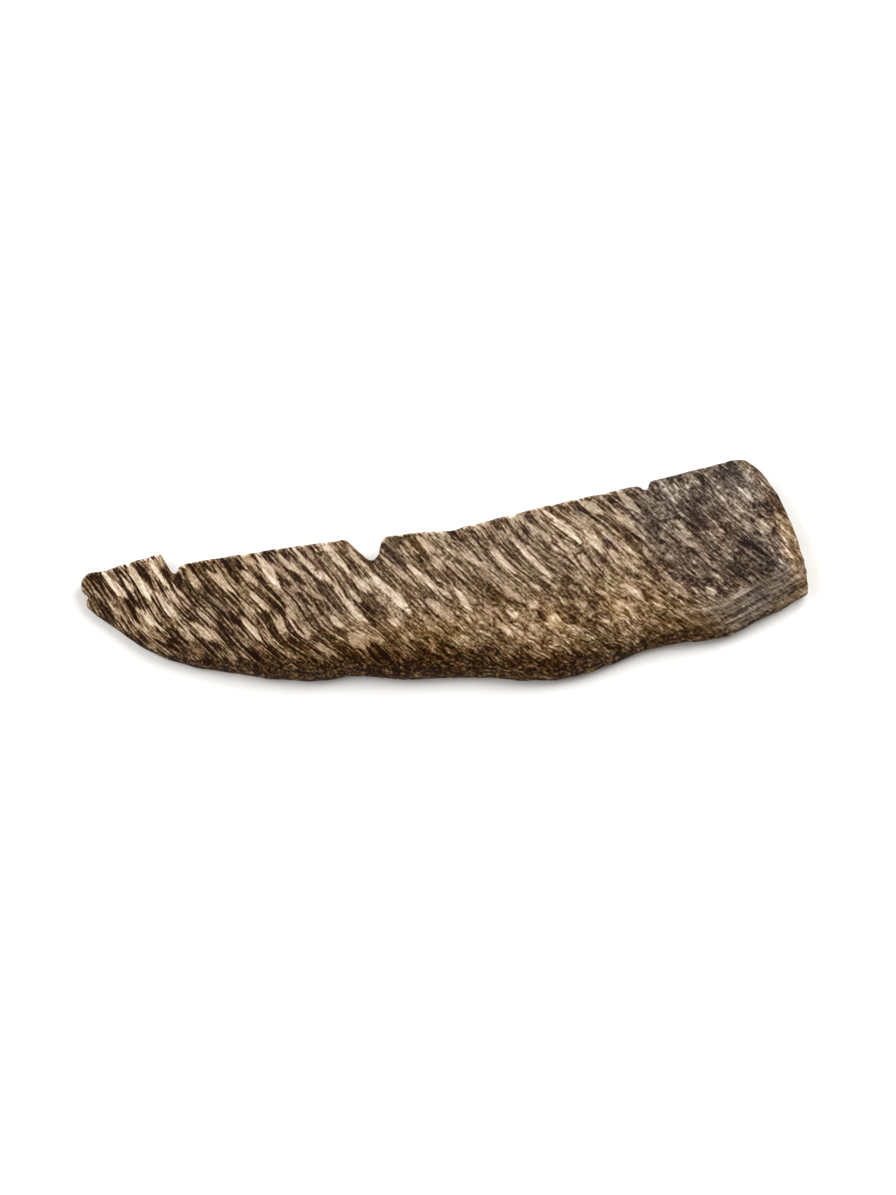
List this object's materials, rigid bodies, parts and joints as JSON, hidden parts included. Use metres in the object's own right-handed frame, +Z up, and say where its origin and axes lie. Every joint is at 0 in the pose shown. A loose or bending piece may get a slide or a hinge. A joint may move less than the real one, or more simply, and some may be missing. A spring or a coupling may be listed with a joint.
{
  "type": "agarwood piece",
  "caption": "Flat slab of dry agarwood with slanting pale and dark resin streaks, a rolled front edge, a chipped and notched back edge and a thin split tip; lies on its underside.",
  "frame": {"origin": "on the resting plane, at the middle of the footprint's box", "axes": "+X along the slab from its thin tip to its broad end, +Y from the rolled front edge to the notched back edge, +Z up through the thickness"},
  "size_m": [0.0986, 0.0278, 0.0069],
  "materials": {
    "agarwood": "dry raw wood, matt, with a faint resin sheen in the dark streaks"
  },
  "bodies": {
    "root": {"agarwood_slab": "agarwood"}
  },
  "joints": []
}
